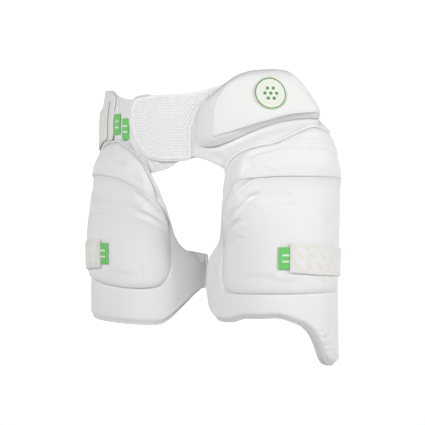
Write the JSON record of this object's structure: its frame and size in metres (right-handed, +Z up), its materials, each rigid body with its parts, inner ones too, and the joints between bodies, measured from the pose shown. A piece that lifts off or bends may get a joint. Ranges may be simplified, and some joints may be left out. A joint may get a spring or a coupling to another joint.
{
  "type": "cricket thigh guard",
  "caption": "Padded batting guard worn round the waist: a closed belt with a mesh flap and a hip pad, and a curved foam pad with a back strap on each thigh.",
  "frame": {"origin": "centre of the waist opening, at the height where the belt sits on the wearer's hips", "axes": "+Z up the wearer's body, +X to the wearer's left, the leading leg's side, and -Y the way the wearer faces"},
  "size_m": [0.4102, 0.2501, 0.4379],
  "materials": {
    "loop_cloth": "soft brushed loop cloth",
    "spacer_mesh": "open honeycomb spacer mesh",
    "binding_tape": "flat folded edging tape",
    "stretch_cloth": "smooth stretch knit over foam",
    "cream_cloth": "smooth warm-white cloth over foam",
    "badge_patch": "smooth rubber patch",
    "webbing": "woven elastic webbing",
    "green_tape": "woven green tape"
  },
  "bodies": {
    "root": {"waist_panel": "loop_cloth", "front_flap": "spacer_mesh", "flap_binding": "binding_tape", "hip_panel": "stretch_cloth", "hip_pad": "stretch_cloth", "hip_pad_face": "cream_cloth", "badge": "badge_patch", "back_belt": "webbing", "back_belt_binding": "binding_tape", "hip_tab": "webbing", "flap_tag": "green_tape", "hip_tag": "green_tape", "lead_shell": "stretch_cloth", "lead_cushion": "stretch_cloth", "lead_crown": "cream_cloth", "lead_crown_binding": "binding_tape", "lead_strap": "webbing", "lead_strap_tag": "green_tape", "trail_shell": "stretch_cloth", "trail_cushion": "stretch_cloth", "trail_crown": "cream_cloth", "trail_crown_binding": "binding_tape", "trail_strap": "webbing", "trail_strap_tag": "green_tape"}
  },
  "joints": []
}
